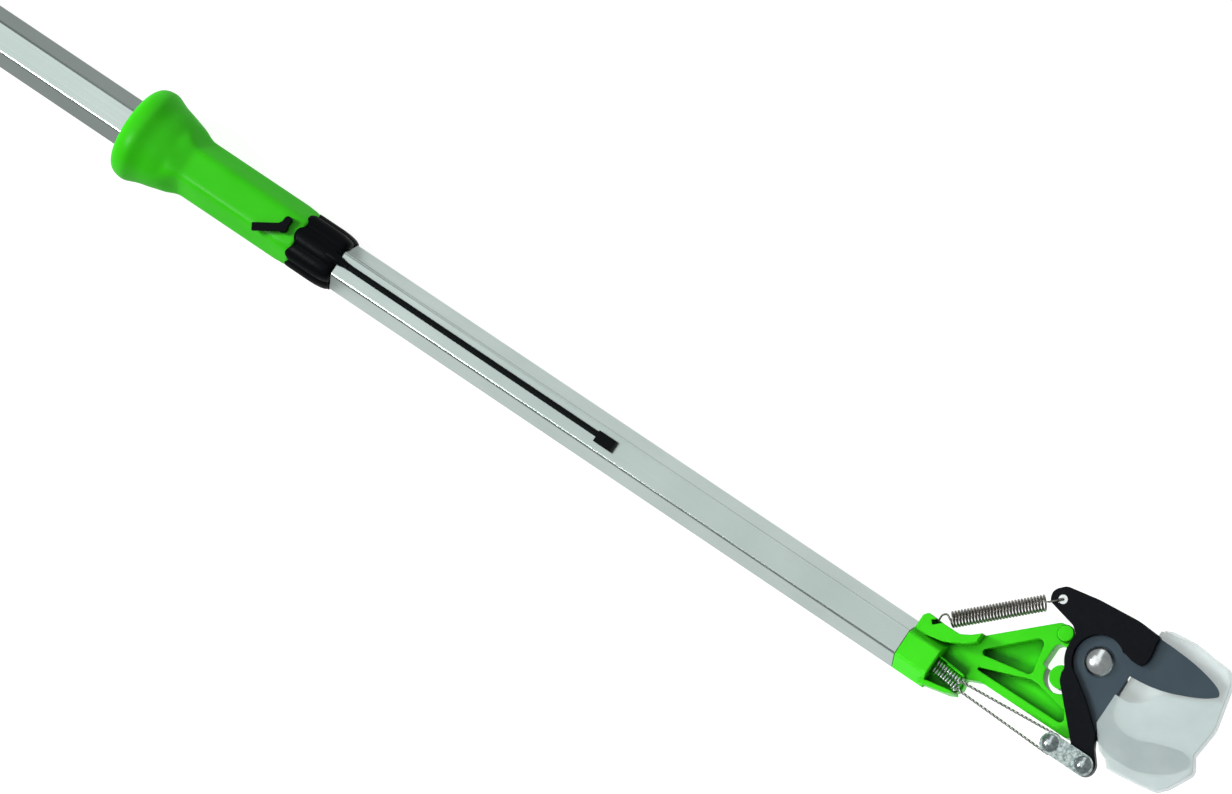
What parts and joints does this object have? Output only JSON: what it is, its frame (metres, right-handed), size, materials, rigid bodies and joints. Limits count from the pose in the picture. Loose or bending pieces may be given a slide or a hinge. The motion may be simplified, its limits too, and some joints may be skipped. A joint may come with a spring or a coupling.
{
  "type": "tree pruner pole",
  "caption": "Long-reach tree pruner: hexagonal pole with a sliding flared grip that pulls a cord through the pole and closes a bypass cutting head with a clear pull-off guard.",
  "frame": {"origin": "centre of the hanging hole at the rear end of the pole, on the pole's axis", "axes": "+X along the pole to the cutting head, +Z out of the cutting plane on the side with the blade and the link, +Y to the side the pivot stands out"},
  "size_m": [1.603, 0.127, 0.054],
  "materials": {
    "bare_aluminium": "satin anodised",
    "black_rubber": "matte",
    "green_plastic": "smooth moulded",
    "black_plastic": "fine grain",
    "zinc_steel": "zinc plated",
    "coated_steel": "grey non-stick coating",
    "spring_wire": "drawn wire",
    "rope_steel": "stranded",
    "cord_cover": "braided cover",
    "lever_cover": "satin",
    "clear_guard": "milky and clear"
  },
  "bodies": {
    "pole": {"pole_tube": "bare_aluminium", "rear_grip": "black_rubber", "end_cap": "green_plastic", "cord_inlet": "black_plastic", "head_frame": "green_plastic", "socket_screws": "zinc_steel", "stop_pin": "green_plastic", "hook_blade": "coated_steel", "pivot_bolt": "zinc_steel", "pivot_washer": "zinc_steel", "pivot_nut": "zinc_steel", "rope_guides": "spring_wire", "wire_rope": "rope_steel"},
    "slider": {"grip_sleeve": "green_plastic", "grip_ring": "black_plastic", "pull_cord": "cord_cover", "rope_splice": "zinc_steel"},
    "lock": {"lock_lever": "black_plastic"},
    "lever": {"lever_body": "lever_cover", "cutting_blade": "coated_steel", "spring_pin": "zinc_steel"},
    "link": {"link_plate_front": "zinc_steel", "link_plate_rear": "zinc_steel", "link_rivet": "zinc_steel", "sheave_rivet": "zinc_steel"},
    "sheave": {"sheave": "zinc_steel"},
    "guard": {"blade_guard": "clear_guard"},
    "spring": {"tension_spring": "spring_wire"}
  },
  "joints": [
    {"name": "grip_slide", "type": "slide", "parent": "pole", "child": "slider", "axis": [-1, 0, 0], "range_m": [0, 0.0988], "stiffness_N_per_m": 79, "springref_m": -0.0369, "deforming": ["pull_cord", "wire_rope"]},
    {"name": "lever_pivot", "type": "hinge", "parent": "pole", "child": "lever", "pos_m": [1.505, 0.056, 0], "axis": [0, 0, -1], "range_deg": [0, 46]},
    {"name": "spring_draw", "type": "slide", "parent": "pole", "child": "spring", "axis": [0.7591, 0.651, 0], "range_m": [0, 0.0337], "deforming": ["tension_spring"]},
    {"name": "link_pivot", "type": "hinge", "parent": "lever", "child": "link", "pos_m": [1.533, -0.0008, 0], "axis": [0, 0, 1], "range_deg": [0, 46.2]},
    {"name": "sheave_spin", "type": "hinge", "parent": "link", "child": "sheave", "pos_m": [1.509, -0.0008, 0], "axis": [0, 0, 1], "range_deg": [0, 460]},
    {"name": "lock_turn", "type": "hinge", "parent": "slider", "child": "lock", "pos_m": [0.9305, -0.0004, 0], "axis": [0, 0, 1], "range_deg": [-50, 0]},
    {"name": "guard_pull", "type": "slide", "parent": "pole", "child": "guard", "axis": [1, 0, 0], "range_m": [0, 0.075]}
  ],
  "couplings": [
    {"joint": "lever_pivot", "follows": "grip_slide", "rad_per_m": 8.125},
    {"joint": "link_pivot", "follows": "grip_slide", "rad_per_m": 8.125},
    {"joint": "spring_draw", "follows": "grip_slide", "ratio": 0.33988},
    {"joint": "sheave_spin", "follows": "grip_slide", "rad_per_m": 80.65}
  ]
}
